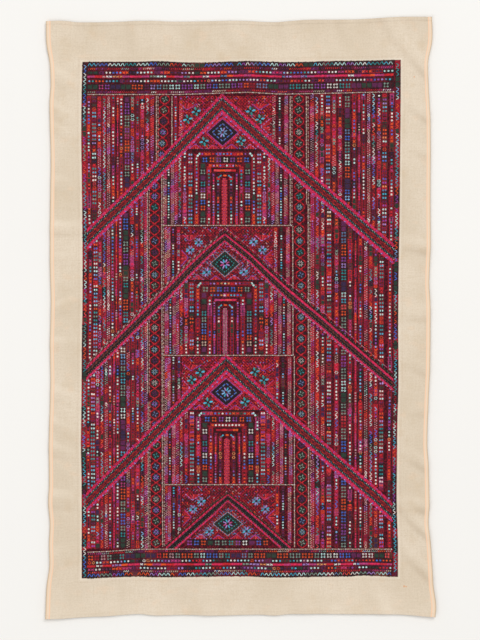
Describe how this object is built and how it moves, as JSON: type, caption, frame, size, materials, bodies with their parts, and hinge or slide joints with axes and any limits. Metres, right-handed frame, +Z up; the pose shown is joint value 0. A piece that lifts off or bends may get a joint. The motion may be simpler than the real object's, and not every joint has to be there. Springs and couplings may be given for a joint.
{
  "type": "embroidered panel",
  "caption": "Rectangular silk-embroidered panel sewn on a wider length of plain cream cotton, lying flat with softly curled edges.",
  "frame": {"origin": "middle of the cloth's box, on the surface that it lies on", "axes": "+X along the weft from the left selvedge to the right one, +Y along the warp towards the upper hem, +Z up out of the embroidered face"},
  "size_m": [0.5132, 0.7918, 0.0101],
  "materials": {
    "cream_cotton": "plain-woven unbleached cotton, matt, with a peach stripe inside each selvedge",
    "silk_embroidery": "dense floss silk in many colours on a wine-red ground, soft sheen along the threads"
  },
  "bodies": {
    "root": {"cream_cloth": "cream_cotton", "embroidered_panel": "silk_embroidery"}
  },
  "joints": []
}
